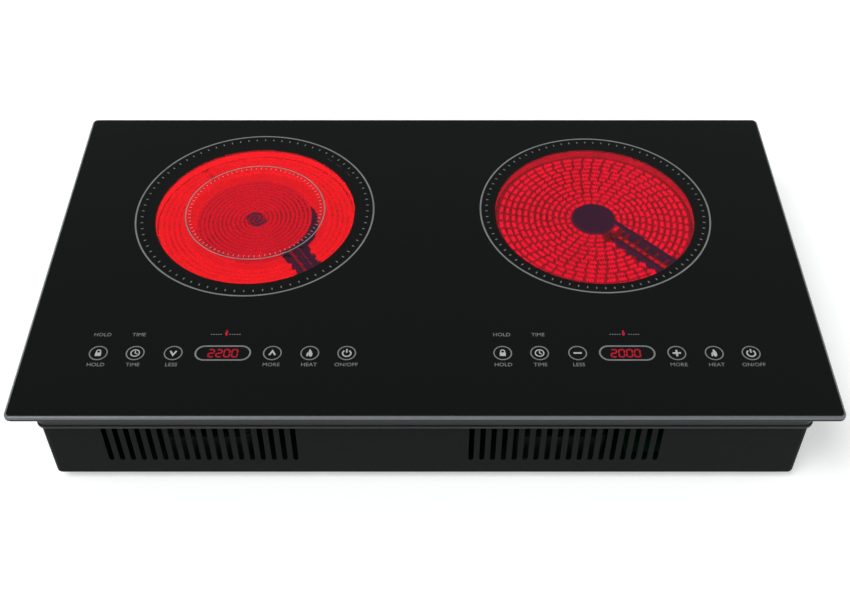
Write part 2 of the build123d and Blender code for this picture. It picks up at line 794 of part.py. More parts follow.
# Touch controls: carrier on two legs, board, display, touch pads
carrier_w = control_board_w + 2 * carrier_rim
carrier_d = control_board_d + 2 * carrier_rim
for side, sign in (("left", -1), ("right", 1)):
    group_x = sign * control_x
    side_bosses = [place for place in boss_places if place[0] * sign > 0]
    with BuildPart() as carrier:
        with BuildSketch(Plane((group_x, control_y, carrier_z))):
            Rectangle(carrier_w, carrier_d)
        extrude(amount=carrier_t)
        with BuildSketch(Plane((group_x, control_y, carrier_z + carrier_t))):
            Rectangle(carrier_w, carrier_d)
            Rectangle(carrier_w - carrier_rim, carrier_d - carrier_rim, mode=Mode.SUBTRACT)
        extrude(amount=boss_h)
        with BuildSketch(Plane.XY.offset(carrier_z + carrier_t)):
            with Locations(*side_bosses):
                Circle(boss_r)
        extrude(amount=boss_h)
        with BuildSketch(Plane.XY.offset(control_board_z)):
            with Locations(*side_bosses):
                Circle(small_screw_r + screw_gap)
        extrude(amount=-small_screw_len, mode=Mode.SUBTRACT)
        with BuildSketch(Plane((fan_x[side], control_y, floor_z))):
            with GridLocations(2 * leg_offset, 0, 2, 1):
                Rectangle(leg_w, leg_w)
        extrude(amount=carrier_z - floor_z)
    finish(carrier, f"control_{side}_carrier")

    with BuildPart() as control_board:
        with BuildSketch(Plane((group_x, control_y, control_board_z))):
            Rectangle(control_board_w, control_board_d)
        extrude(amount=board_t)
        with BuildSketch(Plane.XY.offset(control_board_z)):
            with Locations(*side_bosses):
                Circle(small_screw_r + screw_gap)
        extrude(amount=board_t, mode=Mode.SUBTRACT)
    finish(control_board, f"control_{side}_board")

    with BuildPart() as display:
        with BuildSketch(Plane((group_x, key_row_y, control_board_z + board_t))):
            Rectangle(display_w, display_d)
        extrude(amount=pad_h - display_gap)
    finish(display, f"control_{side}_display")

    with BuildPart() as touch_pads:
        with BuildSketch(Plane((group_x, key_row_y, control_board_z + board_t))):
            with Locations(*[(offset_x, 0) for offset_x in key_offsets]):
                Circle(pad_r)
        extrude(amount=pad_h)
    finish(touch_pads, f"control_{side}_touch_pads")

# Indicator lights, one over each display
with BuildPart() as indicators:
    with BuildSketch(Plane.XY.offset(control_board_z + board_t)):
        with Locations((-control_x, indicator_y), (control_x, indicator_y)):
            Circle(indicator_r)
    extrude(amount=indicator_h)
    fillet(indicators.faces().filter_by(Axis.Z).sort_by(Axis.Z)[-2:].edges(), indicator_r / 2)
finish(indicators, "control_indicators")

# Fans: frame with spider and bearing tube, stator, rotor with shaft and blades
fan_hub_top = floor_z + fan_plate_t
cup_z = fan_hub_top + fan_end_gap
cup_top = floor_z + fan_h - fan_end_gap
blade_r = fan_bore_r - blade_gap
blade_run = (cup_top - cup_z) / 2 - cup_t
lean_shift = blade_run * tan(radians(blade_lean))
for side, x in fan_x.items():
    with BuildPart() as fan_frame:
        with BuildSketch(Plane((x, fan_y, floor_z))):
            RectangleRounded(fan_w, fan_w, fan_corner_r)
            Circle(fan_bore_r, mode=Mode.SUBTRACT)
            with GridLocations(fan_screw_spacing, fan_screw_spacing, 2, 2):
                Circle(screw_r + screw_gap, mode=Mode.SUBTRACT)
        extrude(amount=fan_h)
        with BuildSketch(Plane((x, fan_y, floor_z))):
            Circle(fan_hub_r)
            Rectangle(2 * fan_bore_r + fan_strut_w / 2, fan_strut_w)
            Rectangle(fan_strut_w, 2 * fan_bore_r + fan_strut_w / 2)
        extrude(amount=fan_plate_t)
        with BuildSketch(Plane((x, fan_y, fan_hub_top))):
            Circle(fan_tube_r)
        extrude(amount=stator_h)
        with BuildSketch(Plane((x, fan_y, floor_z + fan_plate_t / 2))):
            Circle(fan_shaft_r + fan_shaft_fit)
        extrude(amount=fan_plate_t + stator_h, mode=Mode.SUBTRACT)
    finish(fan_frame, f"fan_{side}_frame")

    with BuildPart() as stator:
        with BuildSketch(Plane((x, fan_y, fan_hub_top))):
            Circle(stator_r)
            Circle(fan_tube_r + stator_gap, mode=Mode.SUBTRACT)
        extrude(amount=stator_h)
    finish(stator, f"fan_{side}_stator")

    with BuildPart() as rotor:
        with BuildSketch(Plane((x, fan_y, cup_z))):
            Circle(fan_hub_r)
        extrude(amount=cup_top - cup_z)
        for i in range(blade_count):
            angle = 360 * i / blade_count
            out = (*polar(1, angle), 0)
            along = (*polar(1, angle + 90), 0)
            with BuildSketch(Plane((x, fan_y, (cup_z + cup_top) / 2), x_dir=along, z_dir=out)):
                with BuildLine():
                    Polyline(
                        (-lean_shift - blade_t, -blade_run),
                        (-lean_shift + blade_t, -blade_run),
                        (lean_shift + blade_t, blade_run),
                        (lean_shift - blade_t, blade_run),
                        close=True,
                    )
                make_face()
            extrude(amount=fan_bore_r)
        with BuildSketch(Plane((x, fan_y, cup_z))):
            Circle(2 * fan_bore_r)
            Circle(blade_r, mode=Mode.SUBTRACT)
        extrude(amount=cup_top - cup_z, mode=Mode.SUBTRACT)
        with BuildSketch(Plane((x, fan_y, cup_z))):
            Circle(fan_hub_r - cup_t)
        extrude(amount=cup_top - cup_z - cup_t, mode=Mode.SUBTRACT)
        with BuildSketch(Plane((x, fan_y, cup_top))):
            Circle(fan_shaft_r)
        extrude(amount=fan_hub_top - cup_top)
        fillet(rotor.faces().sort_by(Axis.Z)[-1].edges(), cup_t / 2)
    finish(rotor, f"fan_{side}_rotor")

# Fan screws through the frames' corners into the base plate
with BuildPart() as fan_screws:
    with BuildSketch(*fan_screw_planes):
        Circle(screw_head_r)
    extrude(amount=screw_head_h)
    with BuildSketch(*fan_screw_planes):
        Circle(screw_r)
    extrude(amount=-(fan_h + base_t + screw_head_h))
    with BuildSketch(*[plane.offset(screw_head_h) for plane in fan_screw_planes]):
        Rectangle(recess_span, recess_w)
        Rectangle(recess_w, recess_span)
    extrude(amount=-recess_depth, mode=Mode.SUBTRACT)
finish(fan_screws, "fan_screws")

# Power boards: board, heat sink, capacitors and transformer
for side, x in power_x.items():
    side_standoffs = [place for place in standoff_places if abs(place[0] - x) < power_w]
    with BuildPart() as power_board:
        with BuildSketch(Plane((x, power_y, power_z))):
            Rectangle(power_w, power_d)
        extrude(amount=board_t)
        with BuildSketch(Plane.XY.offset(power_z)):
            with Locations(*side_standoffs):
                Circle(small_screw_r + screw_gap)
        extrude(amount=board_t, mode=Mode.SUBTRACT)
    finish(power_board, f"power_{side}_board")

    with BuildPart() as heat_sink:
        with BuildSketch(Plane((x - power_w / 4, power_y, power_top))):
            Rectangle(sink_w, sink_d)
        extrude(amount=sink_base)
        with BuildSketch(Plane((x - power_w / 4, power_y, power_top + sink_base))):
            with GridLocations((sink_w - fin_t) / (fin_count - 1), 0, fin_count, 1):
                Rectangle(fin_t, sink_d)
        extrude(amount=sink_h - sink_base)
    finish(heat_sink, f"power_{side}_heatsink")

    with BuildPart() as capacitors:
        with BuildSketch(Plane((x + power_w / 4, power_y - power_d / 4, power_top))):
            with GridLocations(capacitor_pitch, 0, 2, 1):
                Circle(capacitor_r)
        extrude(amount=capacitor_h)
    finish(capacitors, f"power_{side}_capacitors")

    with BuildPart() as transformer:
        with BuildSketch(Plane((x + power_w / 4, power_y + power_d / 8, power_top))):
            Rectangle(transformer_w, transformer_d)
        extrude(amount=transformer_h)
        with BuildSketch(Plane((x + power_w / 4, power_y + power_d / 8, power_top))):
            Rectangle(core_w, transformer_d + 2 * core_proud)
        extrude(amount=transformer_h + core_proud)
    finish(transformer, f"power_{side}_transformer")

# Standoffs under the power boards
with BuildPart() as board_standoffs:
    with BuildSketch(Plane.XY.offset(floor_z)):
        with Locations(*standoff_places):
            Circle(standoff_r)
    extrude(amount=standoff_h)
    with BuildSketch(Plane.XY.offset(power_z)):
        with Locations(*standoff_places):
            Circle(small_screw_r + screw_gap)
    extrude(amount=-small_screw_len, mode=Mode.SUBTRACT)
finish(board_standoffs, "board_standoffs")

# Small screws that hold the boards
with BuildPart() as board_screws:
    with BuildSketch(*board_screw_planes):
        Circle(small_head_r)
    extrude(amount=small_head_h)
    with BuildSketch(*board_screw_planes):
        Circle(small_screw_r)
    extrude(amount=-small_screw_len)
finish(board_screws, "board_screws")

# Cable gland in the rear wall, its nut inside, and the mains terminal block
gland_seat = Plane((gland_x, case_back, gland_z), x_dir=(-1, 0, 0), z_dir=(0, 1, 0))
with BuildPart() as cable_gland:
    with BuildSketch(gland_seat):
        RegularPolygon(gland_flange_r, 6)
    extrude(amount=gland_flange_t)
    with BuildSketch(gland_seat.offset(gland_flange_t)):
        Circle(gland_dome_r)
    extrude(amount=gland_dome_h)
    fillet(cable_gland.faces().sort_by(Axis.Y)[-1].edges(), gland_dome_edge_r)
    with BuildSketch(gland_seat):
        Circle(gland_thread_r)
    extrude(amount=-gland_thread_len)
    with BuildSketch(gland_seat.offset(-gland_thread_len)):
        Circle(gland_bore_r)
    extrude(amount=gland_thread_len + gland_flange_t + gland_dome_h, mode=Mode.SUBTRACT)
finish(cable_gland, "cable_gland")

with BuildPart() as gland_nut:
    with BuildSketch(gland_seat.offset(-sheet_t)):
        RegularPolygon(nut_r, 6)
        Circle(gland_thread_r + gland_fit, mode=Mode.SUBTRACT)
    extrude(amount=-nut_t)
finish(gland_nut, "gland_nut")

mains_y = case_back - sheet_t - mains_inset - mains_d / 2
with BuildPart() as mains_terminal:
    with BuildSketch(Plane((gland_x, mains_y, floor_z))):
        RectangleRounded(mains_w, mains_d, mains_corner_r)
    extrude(amount=mains_h)
    mains_face = (gland_x, mains_y - mains_d / 2, floor_z + mains_h / 2)
    with BuildSketch(Plane(mains_face, x_dir=(1, 0, 0), z_dir=(0, -1, 0))):
        with GridLocations(mains_hole_pitch, 0, 3, 1):
            Circle(mains_hole_r)
    extrude(amount=-mains_d, mode=Mode.SUBTRACT)
finish(mains_terminal, "mains_terminal")

# Wires from each heater's terminal strip down to its power board
heater_lead_paths = []
for side in ("left", "right"):
    strip_under = outward(side, strip_z, strip_u + strip_d / 2, strip_v[side])
    for way in (-1, 1):
        top = strip_under.from_local_coords(Vector(way * lead_pair, 0, 0))
        board_x = power_x[side] + way * lead_pair
        board_y = power_y + power_d / 2 - standoff_inset - lead_pair
        heater_lead_paths.append([
            (top.X, top.Y, top.Z),
            (top.X, top.Y, floor_z + lead_level + way * lead_d),
            (board_x, board_y, floor_z + lead_level + way * lead_d),
            (board_x, board_y, power_top),
        ])
with BuildPart() as heater_wires:
    for points in heater_lead_paths:
        with BuildLine() as lead_path:
            FilletPolyline(*points, radius=lead_bend_r)
        lead_wire = lead_path.wire()
        with BuildSketch(Plane(lead_wire @ 0, z_dir=lead_wire % 0)):
            Circle(lead_d / 2)
        sweep(path=lead_wire)
finish(heater_wires, "heater_wires")

# Two-core wires from the mains terminal block to the two power boards
mains_hole_z = floor_z + mains_h / 2
mains_hole_y = mains_y - mains_d / 2 + lead_past
tap_y = power_y + power_d / 2 - standoff_inset - lead_d
mains_lead_paths = []
for side, hole_x, level in (
    ("right", gland_x - mains_hole_pitch, lead_level),
    ("left", gland_x + mains_hole_pitch, mains_level),
):
    tap_x = power_x[side] + mains_tap_x
    turn_y = tap_y + mains_run - (0 if side == "left" else lead_pair)
    mains_lead_paths.append([
        (hole_x, mains_hole_y, mains_hole_z),
        (hole_x, turn_y, mains_hole_z),
        (hole_x, turn_y, floor_z + level),
        (tap_x, turn_y - lead_pair, floor_z + level),
        (tap_x, tap_y, floor_z + level),
        (tap_x, tap_y, power_top),
    ])
with BuildPart() as mains_wires:
    for points in mains_lead_paths:
        with BuildLine() as lead_path:
            FilletPolyline(*points, radius=lead_bend_r)
        lead_wire = lead_path.wire()
        with BuildSketch(Plane(lead_wire @ 0, z_dir=lead_wire % 0)):
            Circle(lead_d / 2)
        sweep(path=lead_wire)
finish(mains_wires, "mains_wires")
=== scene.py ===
import json
from math import asin, atan2, ceil, cos, degrees, hypot, pi, radians, sin

import bmesh
import bpy
from mathutils import Matrix, Vector


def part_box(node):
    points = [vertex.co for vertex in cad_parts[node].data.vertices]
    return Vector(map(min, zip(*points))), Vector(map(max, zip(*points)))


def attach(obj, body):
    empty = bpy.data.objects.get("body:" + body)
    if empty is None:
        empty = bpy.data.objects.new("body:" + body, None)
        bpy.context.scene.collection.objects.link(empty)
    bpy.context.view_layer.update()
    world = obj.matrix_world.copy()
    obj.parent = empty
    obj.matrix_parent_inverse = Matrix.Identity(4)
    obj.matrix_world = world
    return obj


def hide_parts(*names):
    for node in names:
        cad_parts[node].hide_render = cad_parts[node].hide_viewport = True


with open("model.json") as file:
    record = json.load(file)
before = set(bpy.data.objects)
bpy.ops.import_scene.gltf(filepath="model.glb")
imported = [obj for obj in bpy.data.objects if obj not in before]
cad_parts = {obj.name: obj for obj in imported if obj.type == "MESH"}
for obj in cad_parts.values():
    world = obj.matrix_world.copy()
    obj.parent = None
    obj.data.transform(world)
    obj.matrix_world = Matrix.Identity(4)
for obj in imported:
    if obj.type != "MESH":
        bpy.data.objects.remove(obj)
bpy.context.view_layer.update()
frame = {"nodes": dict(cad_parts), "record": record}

MM = 0.001


def box_mm(node):
    """The low and the high corner of a CAD node's box, in millimetres."""
    low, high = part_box(node)
    return low / MM, high / MM


def middle_mm(node):
    """The middle of a CAD node's box, in millimetres."""
    low, high = box_mm(node)
    return (low + high) / 2


# Places and finishes read from the frame. All lengths of the pieces are in millimetres
glass_low, glass_high = box_mm("glass_panel")
burner_at = {side: middle_mm(f"heater_{side}_insulation") for side in ("left", "right")}
bed_z = box_mm("heater_left_insulation")[1].z
display_at = {side: middle_mm(f"control_{side}_display") for side in ("left", "right")}
indicator_y = middle_mm("control_indicators").y
slot_of = {row["node"]: row["material_slot"] for row in frame["record"]["subparts"]}
slot_color = {row["slot"]: row["base_color"][:3] for row in frame["record"]["materials"]}

# Glass, the print on it and the black print under it
glass_corner_r = 6.0
glass_edge_r = 2.2
glass_edge_steps = 8
print_t = 0.06
print_top = glass_high.z
print_low = print_top - print_t
backing_t = 0.05

# Windows in the black print: over each heater, each display and each indicator
window_r = 106.0
window_step = 2.0
display_window_inset = 6.0
display_window_rise = 2.0
indicator_window_r = 4.2

# Printed cooking zones
zone_marks = {
    "left": {"ring_r": 115.0, "tick_r": 109.0, "inner_ring_r": 67.3, "inner_tick_r": 63.6},
    "right": {"ring_r": 111.0, "tick_r": 105.2},
}
ring_line = 1.5
inner_ring_line = 1.2
tick_count = 80
tick_len = 2.4
tick_w = 0.9

# Touch keys
key_offsets = (-108.0, -76.0, -43.0, 43.0, 75.5, 107.5)
key_icons = {
    "left": ("lock", "clock", "down", "up", "flame", "power"),
    "right": ("lock", "clock", "minus", "plus", "flame", "power"),
}
key_words = ("HOLD", "TIME", "LESS", "MORE", "HEAT", "ON/OFF")
upper_words = 2
key_ring_r = 7.6
key_line = 1.05
icon_line = 1.3
chevron_line = icon_line + 0.3
sign_line = icon_line + 0.4
thin_line = 1.0
hand_line = 0.9
word_size = 5.6
word_drop = 13.4
upper_word_rise = 21.3
pill_w = 47.5
pill_h = 16.0
pill_line = 1.5

# Short bars at both sides of the indicator
bar_count = 5
bar_start = 3.4
bar_pitch = 2.1
bar_len = 1.2
bar_drop = 2.2
bar_line = 0.8

# Lit digits and indicators, shifted so that they show through their windows
digits = {"left": "2200", "right": "2000"}
digit_h = 8.3
digit_w = 4.7
digit_t = backing_t * 0.8
digit_pitch = 6.8
digit_line = 1.3
digit_slant = 0.02
digit_shift = 0.6
segment_gap = 0.15
lit_shift = 2.7
indicator_h = 7.0
indicator_w = 3.0
flame_steps = 14
flame_swell = 2.05
flame_tip = 0.9

# Coil routes, those of the CAD nodes: u runs along the heater's gap, v across it
gap_angle_of = {"left": -58.6, "right": -47.0}
inner_pitch = 4.3
inner_half_turns = 14
inner_lead_r = 4.0
inner_lead_gap = 16.0
outer_radii = [72.0 + 5.0 * i for i in range(5)]
outer_gap = (-1.0, 25.0)
far_gap = 3.0
right_radii = [24.5 + 6.0 * i for i in range(12)]
right_half_gap = 13.0
right_lead_r = 8.0
lead_end = 111.3
lead_turn_r = 3.0
lead_steps = 12
route_step = 2.0

# Coil ribbons: their section, their waves and where they are cooler
ribbon_t = 0.4
ribbon_low = bed_z + 0.1
ribbon_high = bed_z + 2.2
wave_points = 6
lead_fade = 6.0
calm_r = 16.0
calm_least = 0.2
swirl_r = 9.5
dash_counts = (24, 34, 44, 52)
dash_rings = 3
dash_gap = 0.26
dash_drift = 0.1

# Skins of painted glow on the insulation of the beds and rims, brightest where the coils lie
bed_r = 95.0
bed_rings = 64
bed_parts = 288
skin_low = bed_z + 0.02
skin_high = bed_z + 0.07
rim_r = 96.4
rim_t = 0.05
rim_painted_glow_h = 7.0
rim_painted_glow = {"left": "even", "right": "rim"}
rim_gap = {"left": (12.0, 16.0), "right": (0.0, 14.0)}
glow_margin = 1.0
crescent_r = 52.6
crescent_w = 14.0
crescent_sweep = 80.0
crescent_taper = 0.6
left_lights = ((8.0, 1.6), (16.0, 1.3))
right_light_half = 1.8
right_light_step = 7.5
right_light_gap = 2.2
right_halo_half = 3.2
right_cross_step = 12.0
right_cross_w = 3.0

# Ceramic beads: for each lead its place across the gap, its start and its end
bead_end = 94.0
bead_rows = {
    "left": ((inner_lead_r, 66.0, bead_end), (inner_lead_gap + inner_lead_r, 62.0, bead_end)),
    "right": ((-right_lead_r, 34.0, bead_end),),
}
bead_r = {"left": 2.0, "right": 2.6}
bead_len = 5.5
bead_sides = 14
bead_lift = 0.15
bead_profile = ((0.02, 0.45), (0.12, 0.8), (0.3, 1), (0.7, 1), (0.88, 0.8), (0.98, 0.45))

# Stage, in metres and degrees
floor_size = 60.0
floor_patch_inset = 0.015
floor_white = (0.86, 0.86, 0.86, 1)
floor_lift = 0.42
sun_toward = (0.45, 0.35, -1)
sun_strength = 1.7
sun_spread = 30
horizon = (0.28, (1.0, 1.0, 1.0, 1))
overhead = (0.6, (0.18, 0.205, 0.2, 1))
camera_place = (0, -0.8217, 0.8920)
camera_pitch = 46.2
camera_lens = 51.2
camera_sensor = 36


def material(name, color, rough, metal=0.0, vary=0.25, grain=400.0, bump=0.1, specular=0.5,
             polish_drift=0.08):
    """A surface whose colour and roughness drift with a noise, with a fine bump of the same kind."""
    made = bpy.data.materials.new(name)
    made.use_nodes = True
    nodes, links = made.node_tree.nodes, made.node_tree.links
    shader = nodes["Principled BSDF"]
    shader.inputs["Metallic"].default_value = metal
    shader.inputs["Specular IOR Level"].default_value = specular
    place = nodes.new("ShaderNodeTexCoord")
    drift = nodes.new("ShaderNodeTexNoise")
    drift.inputs["Scale"].default_value = grain / 12
    drift.inputs["Detail"].default_value = 4
    fine = nodes.new("ShaderNodeTexNoise")
    fine.inputs["Scale"].default_value = grain
    fine.inputs["Detail"].default_value = 3
    tint = nodes.new("ShaderNodeValToRGB")
    tint.color_ramp.elements[0].position, tint.color_ramp.elements[1].position = 0.3, 0.7
    for element, share in zip(tint.color_ramp.elements, (1 - vary, 1 + vary)):
        element.color = (*[min(c * share, 1) for c in color], 1)
    polish = nodes.new("ShaderNodeMapRange")
    polish.inputs["To Min"].default_value = max(rough - polish_drift, 0.02)
    polish.inputs["To Max"].default_value = min(rough + polish_drift, 1)
    relief = nodes.new("ShaderNodeBump")
    relief.inputs["Strength"].default_value = bump
    relief.inputs["Distance"].default_value = 0.0002
    links.new(place.outputs["Object"], drift.inputs["Vector"])
    links.new(place.outputs["Object"], fine.inputs["Vector"])
    links.new(drift.outputs["Fac"], tint.inputs["Fac"])
    links.new(tint.outputs["Color"], shader.inputs["Base Color"])
    links.new(drift.outputs["Fac"], polish.inputs["Value"])
    links.new(polish.outputs["Result"], shader.inputs["Roughness"])
    links.new(fine.outputs["Fac"], relief.inputs["Height"])
    links.new(relief.outputs["Normal"], shader.inputs["Normal"])
    return made


def glowing(name, color, strength, base=(0.02, 0.01, 0.01)):
    """A red-hot or lit surface, or one with painted glow: plain emission over a dark base."""
    made = material(name, base, 0.6, vary=0.4, grain=900)
    shader = made.node_tree.nodes["Principled BSDF"]
    shader.inputs["Emission Color"].default_value = (*color, 1)
    shader.inputs["Emission Strength"].default_value = strength
    return made


def glass_material():
    """Dark glass that lets a little red light through, with faint smears in its polish."""
    made = material("ceramic_glass", (0.03, 0.015, 0.02), 0.03, vary=0.05, grain=60, bump=0.02)
    shader = made.node_tree.nodes["Principled BSDF"]
    shader.inputs["Transmission Weight"].default_value = 1.0
    shader.inputs["IOR"].default_value = 1.5
    polish = next(node for node in made.node_tree.nodes if node.type == "MAP_RANGE")
    polish.inputs["To Min"].default_value = 0.01
    polish.inputs["To Max"].default_value = 0.05
    return made


# How each of the record's slots looks: roughness, metal, drift of colour, grain per metre, bump, specular
slot_looks = {
    "black_coated_steel": (0.55, 0.0, 0.1, 1400, 0.25, 0.03),
    "black_silicone": (0.6, 0.0, 0.2, 700, 0.2),
    "black_rubber": (0.75, 0.0, 0.3, 900, 0.4),
    "plated_steel": (0.32, 1.0, 0.2, 900, 0.1),
    "mineral_insulation": (0.95, 0.0, 0.1, 700, 0.8),
    "bright_steel": (0.28, 1.0, 0.12, 500, 0.08),
    "quartz_rod": (0.4, 0.0, 0.2, 500, 0.1),
    "white_ceramic": (0.6, 0.0, 0.08, 600, 0.15),
    "black_plastic": (0.5, 0.0, 0.2, 1200, 0.25),
    "circuit_board": (0.6, 0.0, 0.35, 260, 0.1, 0.1),
    "display_block": (0.3, 0.0, 0.15, 400, 0.05),
    "touch_foam": (0.95, 0.0, 0.4, 1500, 0.8),
    "indicator_red": (0.25, 0.0, 0.1, 300, 0.03),
    "copper_winding": (0.35, 1.0, 0.25, 1500, 0.5),
    "bare_aluminium": (0.38, 1.0, 0.1, 800, 0.15),
    "dark_sleeve": (0.3, 0.0, 0.15, 300, 0.03),
    "black_nylon": (0.48, 0.0, 0.15, 1000, 0.2),
    "wire_sleeve": (0.7, 0.0, 0.12, 1500, 0.5),
    "heating_wire": (0.5, 1.0, 0.2, 900, 0.1),
    "black_glass": (0.1, 0.0, 0.1, 60, 0.02),
}
# Slots painted darker than the record's colour: the walls a little darker in tone, and the boards darker as
# painted shade for the shade behind the vents
slot_tone_and_painted_shade = {"black_coated_steel": 0.75, "circuit_board": 0.3}
slot_material = {
    slot: material(slot, [c * slot_tone_and_painted_shade.get(slot, 1.0) for c in slot_color[slot]], *looks)
    for slot, looks in slot_looks.items()
}
glass = glass_material()
# The glass edge's ground grey, brightened as a painted highlight; the same edge darker where it is upright,
# as painted shade
ground_edge_painted_highlight = material(
    "ground_edge_painted_highlight", (0.16, 0.17, 0.185), 0.3, vary=0.06, grain=1500, bump=0.05, polish_drift=0.02
)
painted_shade_edge = material(
    "painted_shade_edge", (0.02, 0.022, 0.024), 0.4, vary=0.06, grain=1500, bump=0.05, specular=0.15
)
# Black print under the glass, also put on the glass edge's lower rounding as painted shade
print_black_and_painted_shade = material("backing_print_and_painted_shade", (0.006, 0.007, 0.007), 0.6, grain=300)
frame_steel = material("frame_steel", (0.022, 0.023, 0.025), 0.42, vary=0.1, grain=1400, specular=0.25)
zone_print = material("zone_print", (0.22, 0.23, 0.225), 0.55, vary=0.12, grain=800)
icon_print = material("icon_print", (0.52, 0.53, 0.525), 0.55, vary=0.1, grain=800)
digit_red = glowing("digit_red", (1.0, 0.016, 0.07), 18, base=(0.1, 0.005, 0.005))

# Red heat as the dark glass lets it through
outer_red = (1, 0.008, 0.016)
inner_red = (1, 0.004, 0.03)
right_red = (1, 0.002, 0.04)
purple = (1, 0.27, 0.98)
# Bases under the beds' painted glow: the insulation's white, and a darker copy as painted shade where the
# glow is dim
bed_white = (0.7, 0.66, 0.6)
bed_painted_shade = (0.2, 0.18, 0.18)
wire_cold = material("wire_cold", (0.05, 0.045, 0.045), 0.5, metal=1.0, grain=900)
# A faint purple glow painted on the ceramic hub, limiter rods and lead beads, which give no light
ceramic_painted_glow = glowing("ceramic_painted_glow", purple, 1.2, base=(0.09, 0.075, 0.08))

# Each coil's materials, in the order of these three
HOT, COLD, COOLER = range(3)
left_outer_heat = [glowing("left_outer_hot", outer_red, 31), wire_cold]
left_inner_heat = [glowing("left_inner_hot", inner_red, 23), wire_cold, glowing("left_inner_dim", purple, 2)]
right_heat = [glowing("right_hot", right_red, 30), wire_cold, glowing("right_warm", right_red, 9)]
bed_painted_glow = {
    "hot": glowing("bed_painted_glow_hot", outer_red, 17, bed_white),
    "even": glowing("bed_painted_glow_even", outer_red, 26, bed_white),
    "mid": glowing("bed_painted_glow_mid", inner_red, 8, bed_white),
    "rim": glowing("bed_painted_glow_rim", right_red, 10, bed_white),
    "low": glowing("bed_painted_glow_low", right_red, 4, bed_white),
    "dim": glowing("bed_painted_glow_dim", purple, 1.0, bed_painted_shade),
}

node_material = {
    "heater_right_hub": ceramic_painted_glow,
    "heater_left_limiter_rod": ceramic_painted_glow,
    "heater_right_limiter_rod": ceramic_painted_glow,
    "top_frame": frame_steel,
}
for node, obj in frame["nodes"].items():
    obj.data.materials.clear()
    obj.data.materials.append(node_material.get(node, slot_material[slot_of[node]]))


def placed(name, data):
    """A new object in the scene."""
    obj = bpy.data.objects.new(name, data)
    bpy.context.scene.collection.objects.link(obj)
    return obj


def piece(name, mesh, materials, stands_for=()):
    """A new piece of the case, with its finish and the CAD nodes that it stands for."""
    obj = placed(name, mesh)
    for made in materials:
        mesh.materials.append(made)
    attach(obj, "case")
    if stands_for:
        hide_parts(*stands_for)
    return obj


def finished_mesh(name, bm):
    """The mesh of bm, its normals outward, in metres."""
    bmesh.ops.recalc_face_normals(bm, faces=bm.faces)
    bmesh.ops.scale(bm, vec=(MM, MM, MM), verts=bm.verts)
    mesh = bpy.data.meshes.new(name)
    bm.to_mesh(mesh)
    bm.free()
    return mesh


# Flat print: faces drawn on one level, then given their thickness
def flat_face(bm, points):
    """One face through the points."""
    bm.faces.new([bm.verts.new((x, y, 0)) for x, y in points])


def stroke(bm, points, width, closed=False):
    """A line of even width along the points, its corners mitred."""
    count = len(points)
    sides = []
    for i, (x, y) in enumerate(points):
        before = points[i - 1] if closed or i else points[i]
        after = points[(i + 1) % count] if closed or i + 1 < count else points[i]
        arms = []
        for (ax, ay), (bx, by) in ((before, (x, y)), ((x, y), after)):
            run = hypot(bx - ax, by - ay)
            if run > 1e-9:
                arms.append((-(by - ay) / run, (bx - ax) / run))
        nx, ny = sum(a[0] for a in arms) / len(arms), sum(a[1] for a in arms) / len(arms)
        reach = width / 2 / max(nx * nx + ny * ny, 0.25)
        sides.append([bm.verts.new((x + way * nx * reach, y + way * ny * reach, 0)) for way in (-1, 1)])
    for i in range(count if closed else count - 1):
        a, b = sides[i], sides[(i + 1) % count]
        bm.faces.new((a[0], b[0], b[1], a[1]))


def arc(cx, cy, radius, start, sweep, step=0.8):
    """Points along an arc, its angles in degrees."""
    count = max(4, ceil(abs(radians(sweep)) * radius / step))
    angles = [radians(start + sweep * i / count) for i in range(count + 1)]
    return [(cx + radius * cos(a), cy + radius * sin(a)) for a in angles]


def ring(bm, cx, cy, radius, width):
    """A printed circle."""
    stroke(bm, arc(cx, cy, radius, 0, 360)[:-1], width, closed=True)


def add_curve(bm, curve, cx=0.0, cy=0.0):
    """Adds the filled faces of a flat curve to bm, moved to a point."""
    holder = placed(curve.name, curve)
    bpy.context.view_layer.update()
    mesh = holder.to_mesh()
    mesh.transform(Matrix.Translation((cx, cy, 0)))
    bm.from_mesh(mesh)
    holder.to_mesh_clear()
    bpy.data.objects.remove(holder)


def word(bm, text, cx, cy, size):
    """A word in the plain built-in letters, centred on a point."""
    curve = bpy.data.curves.new("word", "FONT")
    curve.body, curve.size = text, size
    curve.align_x, curve.align_y = "CENTER", "CENTER"
    curve.resolution_u = 3
    add_curve(bm, curve, cx, cy)


def printed(name, bm, low, high, slot, *inks):
    """The faces drawn in bm, as a thin solid between two levels."""
    bmesh.ops.remove_doubles(bm, verts=bm.verts, dist=1e-4)
    grown = bmesh.ops.extrude_face_region(bm, geom=bm.faces[:], use_keep_orig=True)
    lifted = {v for v in grown["geom"] if isinstance(v, bmesh.types.BMVert)}
    for v in bm.verts:
        v.co.z = high if v in lifted else low
    return piece(name, finished_mesh(name, bm), inks)


def rounded_loop(width, depth, corner, steps=10):
    """A rounded rectangle's points, anticlockwise."""
    loop = []
    for i, (sx, sy) in enumerate(((1, 1), (-1, 1), (-1, -1), (1, -1))):
        cx, cy = sx * (width / 2 - corner), sy * (depth / 2 - corner)
        for j in range(steps + 1):
            a = radians(90 * i + 90 * j / steps)
            loop.append((cx + corner * cos(a), cy + corner * sin(a)))
    return loop


